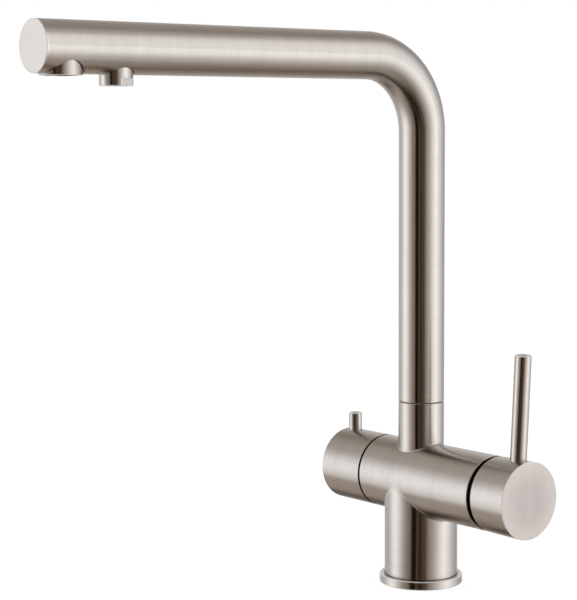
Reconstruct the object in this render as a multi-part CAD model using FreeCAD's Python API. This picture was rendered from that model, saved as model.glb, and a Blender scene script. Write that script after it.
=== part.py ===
import FreeCAD, Part
import math
import os
from FreeCAD import Vector

# Three-way kitchen mixer tap, in millimetres.  The origin is the centre of the foot on the deck and +Z
# is up.  The spout points along -Y, the mixer lever is at +X and the filtered-water knob at -X.

# Foot
flange_diameter = 54.5
flange_height = 5.7
flange_bore = 36.0
flange_edge = 0.6
flange_spigot_height = 5.0
seal_diameter = 47.0
seal_width = 3.0
seal_depth = 2.0

# Casting: column, barrel and knob share one diameter, and so do the neck and the spout
body_diameter = 48.0
column_wall = 4.0
hose_space_height = 33.0
barrel_height = 69.0
barrel_left_length = 34.6
barrel_right_length = 66.8
barrel_edge = 0.4
neck_rise = 51.1
neck_bore = 20.0
neck_bore_depth = 41.1
junction_round = 1.5

# Ports under the casting
port_circle = 23.0
hot_port_angle = 45.0
filter_port_angle = 180.0
port_core_diameter = 9.0
port_depth = 12.0
stud_core_diameter = 6.8
stud_depth = 15.0
water_way_diameter = 6.0
mixed_way_diameter = 5.2
mixed_way_elbow = 4.0
filter_way_diameter = 4.4

# Spout
tube_diameter = 30.0
tube_wall = 1.2
spout_axis_height = 343.7
spout_reach = 288.0
bend_radius = 48.0
tube_edge = 0.3
cap_thickness = 1.5
cap_spigot_length = 1.8

# Swivel
spout_swing_angle = 110.0
washer_thickness = 0.5
washer_diameter = 28.4
bush_diameter = 24.8
bush_length = 12.0
insert_head_length = 12.0
insert_floor_gap = 2.0
ring_section = 1.5
ring_groove_width = 2.2
ring_drops = (37.1, 23.1, 14.3)
mixed_groove_drop = 29.6
mixed_groove_width = 6.0
mixed_groove_depth = 1.5
mixed_bore_diameter = 3.2
mixed_bore_circle = 11.2
mixed_bore_count = 4
feed_bore_diameter = 4.2
stop_groove_drop = 18.1
stop_groove_width = 2.8
stop_groove_depth = 1.5
stop_screw_diameter = 5.0
stop_screw_length = 4.0
stop_tip_diameter = 2.5
stop_screw_room = 0.3

# Filtered-water tube inside the spout
feed_tube_diameter = 6.4
feed_tube_wall = 1.1
feed_socket_depth = 6.0

# Large outlet
main_outlet_from_tip = 17.5
aerator_diameter = 24.4
aerator_height = 12.3
aerator_drop = 0.8
aerator_wall = 1.4
aerator_lip = 1.2
aerator_hole_gap = 0.75
aerator_sieve_height = 3.0
aerator_sieve_hole = 1.5
aerator_sieve_pitch = 2.5
aerator_sieve_rings = 3
aerator_washer_height = 1.4
aerator_washer_width = 2.0
main_socket_wall = 1.4
main_socket_rise = 3.0

# Small outlet
filter_outlet_from_tip = 53.6
nozzle_diameter = 19.4
nozzle_drop = 6.2
nozzle_flat_width = 17.0
nozzle_flat_height = 4.0
nozzle_hole_gap = 0.4
nozzle_thread_diameter = 16.0
nozzle_bore = 12.0
nozzle_throat_diameter = 8.0
nozzle_roof = 1.0
nozzle_thread_gap = 1.0
nozzle_insert_setback = 1.0
nozzle_sieve_height = 3.0
nozzle_sieve_hole = 1.8
nozzle_sieve_pitch = 3.0
nozzle_sieve_rings = 1
filter_socket_diameter = 23.0
filter_socket_rise = 7.0

# Mixer cartridge, seated at a depth behind the barrel's right mouth
cartridge_diameter = 35.0
cartridge_room = 0.25
cartridge_depth = 48.8
cartridge_base_thickness = 6.0
cartridge_peg_diameter = 3.0
cartridge_peg_length = 3.0
cartridge_peg_circle = 28.0
cartridge_peg_room = 0.3
hot_hole_drop = 5.0
mixed_hole_rise = 7.5
hole_seal_width = 1.8
hole_seal_depth = 1.4
fixed_disc_diameter = 28.0
moving_disc_diameter = 20.4
moving_disc_rim = 2.5
disc_thickness = 4.0
carrier_thickness = 5.5
carrier_width = 16.0
carrier_room = 0.4
housing_wall = 2.1
housing_roof = 4.0
collar_diameter = 25.0
collar_flange_diameter = 30.4
collar_flange_thickness = 3.1
collar_reach = 5.5
collar_prong_length = 5.0
collar_prong_thickness = 2.7
collar_prong_width = 14.0
collar_slot_room = 0.5
pivot_from_seat = 32.5
pivot_pin_diameter = 3.0
pivot_pin_setback = 1.0
lever_lift_angle = 22.0
spindle_width = 8.0
spindle_ball_diameter = 6.0
spindle_arm = 14.5
spindle_ball_room = 0.3
spindle_tongue_diameter = 5.2
spindle_boss_diameter = 10.0
nut_diameter = 43.0
nut_bore = 27.2
nut_height = 8.0
nut_step = 0.8
nut_notch_count = 4
nut_notch_width = 4.0
nut_notch_depth = 2.5
nut_notch_reach = 3.5
dome_radius = 26.6
dome_wall = 1.8
dome_opening_room = 1.0

# Mixer handle
cap_gap = 3.5
cap_length = 27.6
cap_flare = 0.5
cap_wall = 1.8
cap_face = 4.0
cap_edge = 0.5
cap_boss_diameter = 17.0
cap_boss_setback = 9.2
cap_rib_width = 12.0
spindle_socket_depth = 11.5
spindle_socket_room = 1.2
lever_diameter = 10.5
lever_rise = 90.0
lever_from_face = 11.1
lever_lean_angle = 3.0
lever_edge = 0.4
lever_stud_diameter = 6.0
lever_stud_length = 13.0
grub_screw_diameter = 5.0
grub_screw_length = 6.0

# Filter valve, seated at a depth behind the barrel's left mouth
valve_depth = 19.4
valve_seal_thickness = 1.1
valve_seal_bore = 8.0
valve_seal_room = 0.2
valve_thread_diameter = 19.0
valve_waist_diameter = 17.2
valve_inner_land = 1.8
valve_outer_land = 1.0
valve_window_width = 7.0
valve_window_margin = 0.5
valve_hex_width = 24.0
valve_hex_height = 5.3
valve_neck_diameter = 16.0
valve_neck_length = 10.0
valve_cavity_diameter = 14.4
valve_disc_thickness = 3.0
valve_disc_angle = 75.0
valve_disc_rim = 1.4
valve_disc_core_diameter = 2.4
valve_head_thickness = 5.0
valve_head_slot_width = 4.0
valve_head_floor = 1.5
valve_stem_diameter = 8.0
valve_stem_from_face = 13.5
valve_stem_flat = 0.8
valve_stem_edge = 0.5
valve_ring_section = 1.1
valve_ring_groove = 1.6
valve_rings_from_head = (5.0, 17.0)

# Filter knob
knob_gap = 1.0
knob_length = 37.9
knob_wall = 2.5
knob_face = 12.0
knob_edge = 0.8
knob_boss_diameter = 17.0
knob_boss_length = 10.0
knob_pin_diameter = 9.0
knob_pin_from_face = 7.5
knob_pin_rise = 35.4
knob_pin_stud_diameter = 5.0
knob_pin_stud_length = 10.0
knob_screw_diameter = 4.0
knob_screw_setback = 0.3
knob_stem_room = 1.0

# Fits: play of moving pairs, play of pieces that stay put, depth and end room of the pins' pockets
running = 0.05
seated = 0.02
pocket_depth = 1.2
stud_room = 0.5

# How far a cutter reaches past the face that it opens, and how close two places count as the same
beyond = 1.0
touch = 0.01

# Places worked out from the sizes above
up = Vector(0, 0, 1)
forward = Vector(0, -1, 0)
backward = Vector(0, 1, 0)
right = Vector(1, 0, 0)
left = Vector(-1, 0, 0)
down = Vector(0, 0, -1)
barrel_centre = Vector(0, 0, barrel_height)
neck_top_height = barrel_height + neck_rise
tube_inner_radius = tube_diameter / 2 - tube_wall
spout_foot_height = neck_top_height + washer_thickness + running
neck_floor = neck_top_height - neck_bore_depth
insert_radius = neck_bore / 2 - running
insert_top = spout_foot_height + insert_head_length
cartridge_seat = barrel_right_length - cartridge_depth
pivot_station = cartridge_seat + pivot_from_seat
cap_rim = barrel_right_length + cap_gap
cap_front = cap_rim + cap_length
lever_station = cap_front - lever_from_face
valve_seat = barrel_left_length - valve_depth
knob_rim = barrel_left_length + knob_gap
knob_front = knob_rim + knob_length
valve_stem_end = knob_front - valve_stem_from_face
slide_travel = spindle_arm * math.radians(lever_lift_angle)


def ring_face(outer, inner, centre, normal):
    """Flat ring, or a disc when the inner radius is zero."""
    disc = Part.Face(Part.Wire(Part.makeCircle(outer, centre, normal)))
    if inner <= 0:
        return disc
    return disc.cut(Part.Face(Part.Wire(Part.makeCircle(inner, centre, normal)))).Faces[0]


def tube(outer, inner, start, length, direction):
    """Straight pipe, or a rod when the inner radius is zero."""
    return ring_face(outer, inner, start, direction).extrude(direction * length)


def rod(radius, start, length, direction):
    return tube(radius, 0, start, length, direction)


def drill(radius, start, end):
    """Round cutter from one point to another."""
    run = end - start
    return Part.makeCylinder(radius, run.Length, start, run)


def block(low, high):
    size = high - low
    return Part.makeBox(size.x, size.y, size.z, low)


def turned(stations, centre, direction):
    """Body of revolution about a line.  The stations are (distance along the line, radius)."""
    outline = [Vector(radius, 0, station) for station, radius in stations]
    outline.append(outline[0])
    body = Part.Face(Part.makePolygon(outline)).revolve(Vector(0, 0, 0), up, 360)
    return placed(body, centre, direction)


def placed(body, centre, direction):
    """Turn a body made about +Z so that its +Z follows the given direction."""
    body.Placement = FreeCAD.Placement(centre, FreeCAD.Rotation(up, direction))
    return body


def soft_ring(middle_radius, section, centre, direction):
    return Part.makeTorus(middle_radius, section / 2, centre, direction)


def hexagon(width, start, height, direction):
    corner = width / math.sqrt(3)
    points = []
    for k in range(7):
        angle = math.radians(60 * k)
        points.append(Vector(corner * math.cos(angle), corner * math.sin(angle), 0))
    prism = Part.Face(Part.makePolygon(points)).extrude(up * height)
    return placed(prism, start, direction)


def sector(radius, opening, middle_angle, start, height, direction):
    """Pie slice with its point on the axis, used as a cutter."""
    half = math.radians(opening / 2)
    middle = math.radians(middle_angle)
    rim = [Vector(radius * math.cos(middle + k * half), radius * math.sin(middle + k * half), 0)
           for k in (-1, 0, 1)]
    edges = [Part.makeLine(Vector(0, 0, 0), rim[0]), Part.Arc(*rim).toShape(),
             Part.makeLine(rim[2], Vector(0, 0, 0))]
    wedge = Part.Face(Part.Wire(edges)).extrude(up * height)
    return placed(wedge, start, direction)


def hole_places(ring_count, pitch):
    """Places of a sieve's holes: one in the middle and six more in each ring."""
    places = [(0.0, 0.0)]
    for ring in range(1, ring_count + 1):
        for k in range(6 * ring):
            angle = 2 * math.pi * k / (6 * ring)
            places.append((ring * pitch * math.cos(angle), ring * pitch * math.sin(angle)))
    return places


def sieve(body, hole, pitch, rings, centre_y, low, high):
    holes = [drill(hole / 2, Vector(x, centre_y + y, low), Vector(x, centre_y + y, high))
             for x, y in hole_places(rings, pitch)]
    return body.cut(holes)


def bent_pipe(outer, inner, foot_height, end_reach):
    """The spout's run: up, a quarter bend and forward."""
    bend_start = Vector(0, 0, spout_axis_height - bend_radius)
    bend_end = Vector(0, -bend_radius, spout_axis_height)
    riser = tube(outer, inner, Vector(0, 0, foot_height), bend_start.z - foot_height, up)
    bend = ring_face(outer, inner, bend_start, up)
    bend = bend.revolve(Vector(0, -bend_radius, bend_start.z), right, 90)
    arm = tube(outer, inner, bend_end, end_reach - bend_radius, forward)
    return riser.fuse([bend, arm]).removeSplitter()


def make_base_flange():
    outer = flange_diameter / 2
    bore = flange_bore / 2
    spigot = body_diameter / 2 - column_wall - running
    ring = turned([(0, bore), (0, outer - flange_edge), (flange_edge, outer),
                   (flange_height - flange_edge, outer), (flange_height, outer - flange_edge),
                   (flange_height, spigot), (flange_height + flange_spigot_height, spigot),
                   (flange_height + flange_spigot_height, bore)], Vector(0, 0, 0), up)
    groove = tube(seal_diameter / 2, seal_diameter / 2 - seal_width, Vector(0, 0, 0), seal_depth, up)
    return ring.cut(groove)


def make_base_seal():
    return tube(seal_diameter / 2 - running, seal_diameter / 2 - seal_width + running,
                Vector(0, 0, 0), seal_depth - seated, up)


def port_place(angle):
    reach = port_circle / 2
    return Vector(reach * math.cos(math.radians(angle)), reach * math.sin(math.radians(angle)),
                  hose_space_height)


def hot_hole(side):
    """Centre of the hot (+1) or cold (-1) water hole on the cartridge seat."""
    return Vector(cartridge_seat, side * port_place(hot_port_angle).y, barrel_height - hot_hole_drop)


def mixed_hole():
    return Vector(cartridge_seat, 0, barrel_height + mixed_hole_rise)


def circles(solid):
    """Edges of a solid that are circles or parts of circles."""
    return [edge for edge in solid.Edges if not edge.Degenerated and isinstance(edge.Curve, Part.Circle)]


def casting_outside():
    """Column, barrel and neck, made about the barrel's middle and then raised to its height."""
    middle = Vector(0, 0, 0)
    column = rod(body_diameter / 2, middle, barrel_height - flange_height, down)
    barrel = rod(body_diameter / 2, left * barrel_left_length, barrel_left_length + barrel_right_length,
                 right)
    neck = rod(tube_diameter / 2, middle, neck_rise, up)
    solid = barrel.fuse([column, neck]).removeSplitter()
    junctions = [edge for edge in solid.Edges
                 if min(edge.BoundBox.XLength, edge.BoundBox.YLength, edge.BoundBox.ZLength) > touch]
    solid = solid.makeFillet(junction_round, junctions)
    rims = [edge for edge in circles(solid)
            if abs(edge.CenterOfMass.x + barrel_left_length) < touch
            or abs(edge.CenterOfMass.x - barrel_right_length) < touch
            or abs(edge.CenterOfMass.z - neck_rise) < touch]
    solid = solid.makeChamfer(barrel_edge, rims)
    solid.translate(barrel_centre)
    return solid


def casting_water_ways():
    """Drillings: each hose port to its valve, and from the valves up to the neck."""
    cutters = []
    way = water_way_diameter / 2
    for side in (1, -1):
        port = port_place(side * hot_port_angle)
        hole = hot_hole(side)
        corner = Vector(port.x, port.y, hole.z)
        cutters.append(drill(port_core_diameter / 2, port, port + up * port_depth))
        cutters.append(drill(way, port, corner + up * way))
        cutters.append(drill(way, corner, hole + right * seated))
    filter_port = port_place(filter_port_angle)
    valve_inlet = Vector(filter_port.x, 0, barrel_height)
    cutters.append(drill(port_core_diameter / 2, filter_port, filter_port + up * port_depth))
    cutters.append(drill(way, filter_port, valve_inlet + up * way))
    cutters.append(drill(way, valve_inlet, Vector(-valve_seat - seated, 0, barrel_height)))
    mixed_elbow = mixed_hole() + left * mixed_way_elbow
    mixed_entry = Vector(neck_bore / 2 - mixed_groove_depth, 0, neck_top_height - mixed_groove_drop)
    cutters.append(drill(mixed_way_diameter / 2, mixed_hole() + right * seated, mixed_elbow))
    cutters.append(drill(mixed_way_diameter / 2, mixed_elbow, mixed_entry))
    valve_outlet = Vector(-valve_head_station() - valve_head_thickness / 2, 0,
                          barrel_height + (valve_waist_diameter - filter_way_diameter) / 2)
    cutters.append(drill(filter_way_diameter / 2, valve_outlet, Vector(0, 0, neck_floor)))
    cutters.append(drill(stud_core_diameter / 2, Vector(0, 0, hose_space_height),
                         Vector(0, 0, hose_space_height + stud_depth)))
    return cutters


def make_tap_body():
    inside = body_diameter / 2 - column_wall
    seat = barrel_centre + right * cartridge_seat
    nut_station = cartridge_roof_station() + nut_step
    cutters = casting_water_ways()
    cutters.append(rod(inside, Vector(0, 0, 0), hose_space_height, up))
    cutters.append(rod(cartridge_chamber_radius(), seat, barrel_right_length - cartridge_seat, right))
    cutters.append(rod(nut_diameter / 2, barrel_centre + right * nut_station,
                       barrel_right_length - nut_station, right))
    for side in (1, -1):
        cutters.append(rod(cartridge_peg_diameter / 2 + running, cartridge_peg(side),
                           cartridge_peg_length + cartridge_peg_room, left))
    cutters.append(rod(valve_thread_diameter / 2, barrel_centre + left * valve_seat,
                       barrel_left_length - valve_seat, left))
    cutters.append(rod(neck_bore / 2, Vector(0, 0, neck_floor), neck_top_height - neck_floor, up))
    cutters.append(rod(bush_diameter / 2, Vector(0, 0, neck_top_height - bush_length), bush_length, up))
    cutters.append(drill(stop_screw_diameter / 2, Vector(0, 0, stop_height()),
                         Vector(0, tube_diameter, stop_height())))
    return casting_outside().cut(cutters)


def stop_height():
    """Level of the screw that holds the spout and of its groove."""
    return neck_top_height - stop_groove_drop


def make_swivel_bush():
    return tube(bush_diameter / 2 - seated, insert_radius + running,
                Vector(0, 0, neck_top_height - bush_length), bush_length, up)


def make_swivel_washer():
    return tube(washer_diameter / 2, insert_radius + 2 * running, Vector(0, 0, neck_top_height),
                washer_thickness, up)


def make_spout_retaining_screw():
    thread = stop_screw_diameter / 2 - seated
    tip_start = insert_radius - stop_groove_depth + stop_screw_room
    thread_start = neck_bore / 2 + stop_screw_room
    body = turned([(tip_start, 0), (tip_start, stop_tip_diameter / 2),
                   (thread_start, stop_tip_diameter / 2), (thread_start, thread),
                   (thread_start + stop_screw_length, thread),
                   (thread_start + stop_screw_length, 0)], Vector(0, 0, stop_height()), backward)
    key = hexagon(stop_tip_diameter, Vector(0, thread_start + stop_screw_length, stop_height()),
                  stop_screw_length / 2, forward)
    return body.cut(key)


def make_spout_tube():
    body = bent_pipe(tube_diameter / 2, tube_inner_radius, spout_foot_height,
                     spout_reach - cap_thickness)
    foot = [edge for edge in circles(body) if edge.Curve.Radius > tube_inner_radius + touch
            and abs(edge.CenterOfMass.z - spout_foot_height) < touch]
    body = body.makeChamfer(tube_edge, foot)
    outlets = []
    for from_tip, radius in ((main_outlet_from_tip, aerator_diameter / 2 + aerator_hole_gap),
                             (filter_outlet_from_tip, nozzle_diameter / 2 + nozzle_hole_gap)):
        centre = Vector(0, from_tip - spout_reach, spout_axis_height)
        outlets.append(rod(radius, centre, tube_diameter, down))
    return body.cut(outlets)


def make_spout_end_cap():
    outer = tube_diameter / 2
    spigot = tube_inner_radius - seated
    back = spout_reach - cap_thickness
    return turned([(back - cap_spigot_length, spigot - tube_wall), (back - cap_spigot_length, spigot),
                   (back, spigot), (back, outer), (spout_reach - tube_edge, outer),
                   (spout_reach, outer - tube_edge), (spout_reach, 0), (back, 0),
                   (back, spigot - tube_wall)], Vector(0, 0, spout_axis_height), forward)


def make_spout_insert():
    floor = neck_floor + insert_floor_gap
    head = tube_inner_radius - seated
    groove_bottom = insert_radius - ring_section - seated
    stations = [(floor, 0), (floor, insert_radius)]
    steps = [(neck_top_height - drop, ring_groove_width, groove_bottom) for drop in ring_drops]
    steps.append((neck_top_height - mixed_groove_drop, mixed_groove_width,
                  insert_radius - mixed_groove_depth))
    for middle, width, bottom in sorted(steps):
        stations += [(middle - width / 2, insert_radius), (middle - width / 2, bottom),
                     (middle + width / 2, bottom), (middle + width / 2, insert_radius)]
    stations += [(spout_foot_height, insert_radius), (spout_foot_height, head), (insert_top, head),
                 (insert_top, 0)]
    body = turned(stations, Vector(0, 0, 0), up)
    cutters = [drill(feed_bore_diameter / 2, Vector(0, 0, floor), Vector(0, 0, insert_top)),
               drill(feed_tube_diameter / 2 + seated, Vector(0, 0, insert_top - feed_socket_depth),
                     Vector(0, 0, insert_top))]
    for k in range(mixed_bore_count):
        angle = 2 * math.pi * (k + 0.5) / mixed_bore_count
        outward = Vector(math.cos(angle), math.sin(angle), 0)
        low = outward * (mixed_bore_circle / 2) + up * (neck_top_height - mixed_groove_drop)
        cutters.append(drill(mixed_bore_diameter / 2, low, low + up * (insert_top - low.z)))
        cutters.append(drill(mixed_bore_diameter / 2, low, low + outward * insert_radius))
    cutters.append(stop_groove())
    return body.cut(cutters)


def stop_groove():
    """Part of a ring, open where the screw's tip may travel, closed at both ends of the swing."""
    inner = insert_radius - stop_groove_depth
    outer = insert_radius + beyond
    tip_angle = math.degrees(math.asin((stop_tip_diameter / 2 + running) / inner))
    half = spout_swing_angle + tip_angle
    low = stop_height() - stop_groove_width / 2
    corners = [Vector(0, inner, low), Vector(0, outer, low), Vector(0, outer, low + stop_groove_width),
               Vector(0, inner, low + stop_groove_width), Vector(0, inner, low)]
    section = Part.Face(Part.makePolygon(corners))
    section.rotate(Vector(0, 0, 0), up, -half)
    return section.revolve(Vector(0, 0, 0), up, 2 * half)


def make_spout_o_rings():
    middle = insert_radius - ring_section / 2
    return [soft_ring(middle, ring_section - seated, Vector(0, 0, neck_top_height - drop), up)
            for drop in ring_drops]


def filter_outlet_y():
    return filter_outlet_from_tip - spout_reach


def main_outlet_y():
    return main_outlet_from_tip - spout_reach


def make_filter_feed_tube():
    end = filter_outlet_y() + filter_socket_diameter / 2 - feed_socket_depth / 2
    outer = feed_tube_diameter / 2
    return bent_pipe(outer, outer - feed_tube_wall, insert_top - feed_socket_depth, -end)


def inside_tube(low_y, high_y):
    return rod(tube_inner_radius - seated, Vector(0, high_y, spout_axis_height), high_y - low_y, forward)


def make_main_outlet_socket():
    y = main_outlet_y()
    bore = aerator_diameter / 2 + running
    outer = bore + main_socket_wall
    shoulder = spout_axis_height - tube_diameter / 2 - aerator_drop + aerator_height + seated
    top = spout_axis_height + main_socket_rise
    bottom = spout_axis_height - tube_diameter / 2
    body = rod(outer, Vector(0, y, bottom), top - bottom, up)
    body = body.common(inside_tube(y - outer, y + outer))
    thread = drill(bore, Vector(0, y, bottom), Vector(0, y, shoulder))
    throat = drill(aerator_washer_bore(), Vector(0, y, bottom), Vector(0, y, top))
    return body.cut([thread, throat])


def aerator_bottom():
    return spout_axis_height - tube_diameter / 2 - aerator_drop


def make_aerator_housing():
    outer = aerator_diameter / 2
    inner = outer - aerator_wall
    edge = tube_edge
    return turned([(0, inner - aerator_lip), (0, outer - edge), (edge, outer), (aerator_height, outer),
                   (aerator_height, inner), (aerator_lip, inner), (aerator_lip, inner - aerator_lip)],
                  Vector(0, main_outlet_y(), aerator_bottom()), up)


def aerator_insert_height():
    return aerator_height - aerator_lip - aerator_washer_height - seated


def make_aerator_insert():
    y = main_outlet_y()
    outer = aerator_diameter / 2 - aerator_wall - running
    low = aerator_bottom() + aerator_lip
    high = low + aerator_insert_height()
    body = rod(outer, Vector(0, y, low), high - low, up)
    chamber = drill(outer - aerator_wall, Vector(0, y, low + aerator_sieve_height), Vector(0, y, high))
    return sieve(body.cut(chamber), aerator_sieve_hole, aerator_sieve_pitch, aerator_sieve_rings, y,
                 low - beyond, high)


def aerator_washer_bore():
    return aerator_diameter / 2 - aerator_wall - running - aerator_washer_width


def make_aerator_washer():
    low = aerator_bottom() + aerator_lip + aerator_insert_height()
    return tube(aerator_washer_bore() + aerator_washer_width, aerator_washer_bore(),
                Vector(0, main_outlet_y(), low), aerator_washer_height, up)


def nozzle_shoulder():
    """Level where the nozzle's full width ends, just inside the tube."""
    wide = nozzle_diameter / 2 + nozzle_hole_gap
    return spout_axis_height - math.sqrt(tube_inner_radius ** 2 - wide ** 2)


def make_filter_outlet_socket():
    y = filter_outlet_y()
    outer = filter_socket_diameter / 2
    bottom = spout_axis_height - tube_diameter / 2
    top = spout_axis_height + filter_socket_rise
    thread_top = spout_axis_height - feed_tube_diameter / 2
    body = rod(outer, Vector(0, y, bottom), top - bottom, up).common(inside_tube(y - outer, y + outer))
    recess = drill(nozzle_diameter / 2 + nozzle_hole_gap, Vector(0, y, bottom),
                   Vector(0, y, nozzle_shoulder()))
    thread = drill(nozzle_thread_diameter / 2 + running, Vector(0, y, bottom), Vector(0, y, thread_top))
    entry = Vector(0, y + outer, spout_axis_height)
    feed_socket = drill(feed_tube_diameter / 2 + seated, entry, entry + forward * (feed_socket_depth / 2))
    elbow = Vector(0, y, spout_axis_height)
    across = drill(feed_bore_diameter / 2, entry, elbow)
    outlet_way = drill(feed_bore_diameter / 2, elbow, Vector(0, y, thread_top))
    return body.cut([recess, thread, feed_socket, across, outlet_way])


def make_filter_outlet_nozzle():
    y = filter_outlet_y()
    outer = nozzle_diameter / 2
    thread = nozzle_thread_diameter / 2
    bottom = spout_axis_height - tube_diameter / 2 - nozzle_drop
    shoulder = nozzle_shoulder() - seated
    top = spout_axis_height - feed_tube_diameter / 2 - nozzle_thread_gap
    bore = nozzle_bore / 2
    throat = nozzle_throat_diameter / 2
    height = shoulder - bottom
    body = turned([(0, bore), (0, outer - tube_edge), (tube_edge, outer), (height, outer),
                   (height, thread), (top - bottom, thread), (top - bottom, throat),
                   (height - nozzle_roof, throat), (height - nozzle_roof, bore)],
                  Vector(0, y, bottom), up)
    flats = []
    for side in (1, -1):
        near = side * nozzle_flat_width / 2
        far = side * nozzle_diameter
        flats.append(block(Vector(min(near, far), y - nozzle_diameter, bottom - beyond),
                           Vector(max(near, far), y + nozzle_diameter, bottom + nozzle_flat_height)))
    return body.cut(flats)


def make_filter_outlet_insert():
    y = filter_outlet_y()
    low = spout_axis_height - tube_diameter / 2 - nozzle_drop + nozzle_insert_setback
    high = low + nozzle_sieve_height
    body = rod(nozzle_bore / 2 - seated, Vector(0, y, low), high - low, up)
    return sieve(body, nozzle_sieve_hole, nozzle_sieve_pitch, nozzle_sieve_rings, y, low - beyond,
                 high + beyond)


def cartridge_chamber_radius():
    return cartridge_diameter / 2 + cartridge_room


def cartridge_peg(side):
    """Foot of one of the two pegs that keep the cartridge from turning."""
    return Vector(cartridge_seat, side * cartridge_peg_circle / 2, barrel_height)


def disc_station():
    """Station where the fixed disc lies on the cartridge base."""
    return cartridge_seat + cartridge_base_thickness


def carrier_station():
    return disc_station() + 2 * disc_thickness + 2 * seated


def collar_station():
    return carrier_station() + carrier_thickness + carrier_room


def cartridge_roof_station():
    """Outer face of the cartridge housing, which the nut presses on."""
    return collar_station() + collar_flange_thickness + 2 * running + housing_roof


def make_cartridge_base():
    outer = cartridge_diameter / 2
    start = barrel_centre + right * cartridge_seat
    body = rod(outer, start, cartridge_base_thickness, right)
    pegs = [rod(cartridge_peg_diameter / 2, cartridge_peg(side), cartridge_peg_length, left)
            for side in (1, -1)]
    cutters = []
    for hole in water_holes():
        cutters.append(rod(water_way_diameter / 2, hole, cartridge_base_thickness, right))
        cutters.append(rod(water_way_diameter / 2 + hole_seal_width + running, hole, hole_seal_depth,
                           right))
    return body.fuse(pegs).cut(cutters)


def water_holes():
    return [hot_hole(1), hot_hole(-1), mixed_hole()]


def make_cartridge_base_seals():
    inner = water_way_diameter / 2
    return [tube(inner + hole_seal_width, inner, hole, hole_seal_depth - seated, right)
            for hole in water_holes()]


def make_fixed_ceramic_disc():
    start = barrel_centre + right * disc_station()
    body = rod(fixed_disc_diameter / 2, start, disc_thickness, right)
    cutters = []
    for hole in water_holes():
        entry = Vector(disc_station(), hole.y, hole.z)
        cutters.append(rod(water_way_diameter / 2, entry, disc_thickness, right))
    return body.cut(cutters)


def slide_centre(station):
    """Middle of the sliding pieces at rest: half the travel below the barrel's axis."""
    return Vector(station, 0, barrel_height - slide_travel / 2)


def make_moving_ceramic_disc():
    start = slide_centre(disc_station() + disc_thickness + seated)
    body = rod(moving_disc_diameter / 2, start, disc_thickness, right)
    pocket = rod(moving_disc_diameter / 2 - moving_disc_rim, start, disc_thickness / 2, right)
    return body.cut(pocket)


def make_disc_carrier():
    start = slide_centre(carrier_station())
    half = carrier_width / 2
    reach = moving_disc_diameter
    body = rod(moving_disc_diameter / 2, start, carrier_thickness, right)
    body = body.common(block(start + Vector(-beyond, -half, -reach),
                             start + Vector(carrier_thickness + beyond, half, reach)))
    ball_station = pivot_station - spindle_arm
    pocket_radius = spindle_ball_diameter / 2 + spindle_ball_room
    pocket_start = Vector(ball_station - pocket_radius, 0, barrel_height)
    pocket = rod(pocket_radius, pocket_start, carrier_thickness, right)
    return body.cut(pocket)


def make_cartridge_housing():
    outer = cartridge_diameter / 2
    inner = outer - housing_wall
    start = disc_station()
    roof = cartridge_roof_station()
    bore = collar_diameter / 2 + running
    return turned([(start, inner), (start, outer), (roof, outer), (roof, bore),
                   (roof - housing_roof, bore), (roof - housing_roof, inner)], barrel_centre, right)


def slot_half_height():
    """Room that the tipping spindle needs in the collar, on either side of the axis."""
    reach = pivot_station - collar_station()
    lift = math.radians(lever_lift_angle)
    return reach * math.tan(lift) + spindle_ball_diameter / 2 / math.cos(lift) + collar_slot_room


def make_cartridge_turning_collar():
    start = collar_station()
    end = pivot_station + collar_reach
    flange = rod(collar_flange_diameter / 2, barrel_centre + right * start, collar_flange_thickness,
                 right)
    neck = rod(collar_diameter / 2, barrel_centre + right * start, end - start, right)
    near = carrier_width / 2 + 2 * running
    far = near + collar_prong_thickness
    half = collar_prong_width / 2
    prongs = []
    for side in (1, -1):
        low_y = min(side * near, side * far)
        high_y = max(side * near, side * far)
        prongs.append(block(Vector(start - collar_prong_length, low_y, barrel_height - half),
                            Vector(start, high_y, barrel_height + half)))
    room = spindle_width / 2 + 3 * running
    slot = block(Vector(start - beyond, -room, barrel_height - slot_half_height()),
                 Vector(end + beyond, room, barrel_height + slot_half_height()))
    pin_hole = drill(pivot_pin_diameter / 2 + seated, pivot_end(-1), pivot_end(1))
    return flange.fuse([neck] + prongs).removeSplitter().cut([slot, pin_hole])


def pivot_end(side):
    """Where the pivot's axis leaves the collar."""
    return Vector(pivot_station, side * collar_diameter / 2, barrel_height)


def make_cartridge_pivot_pin():
    length = collar_diameter - 2 * pivot_pin_setback
    return rod(pivot_pin_diameter / 2, pivot_end(-1) + backward * pivot_pin_setback, length, backward)


def spindle_end():
    return cap_rim + cap_boss_setback + spindle_socket_depth - spindle_socket_room


def make_cartridge_spindle():
    half = spindle_width / 2
    square_start = pivot_station - spindle_boss_diameter / 2
    bar = block(Vector(square_start, -half, barrel_height - half),
                Vector(spindle_end(), half, barrel_height + half))
    ball = Vector(pivot_station - spindle_arm, 0, barrel_height)
    tongue = drill(spindle_tongue_diameter / 2, ball, Vector(pivot_station, 0, barrel_height))
    knuckle = Part.makeSphere(spindle_ball_diameter / 2, ball)
    boss = rod(spindle_boss_diameter / 2, Vector(pivot_station, -half, barrel_height), spindle_width,
               backward)
    hole = drill(pivot_pin_diameter / 2 + running, pivot_end(-1), pivot_end(1))
    return bar.fuse([tongue, knuckle, boss]).removeSplitter().cut(hole)


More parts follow.
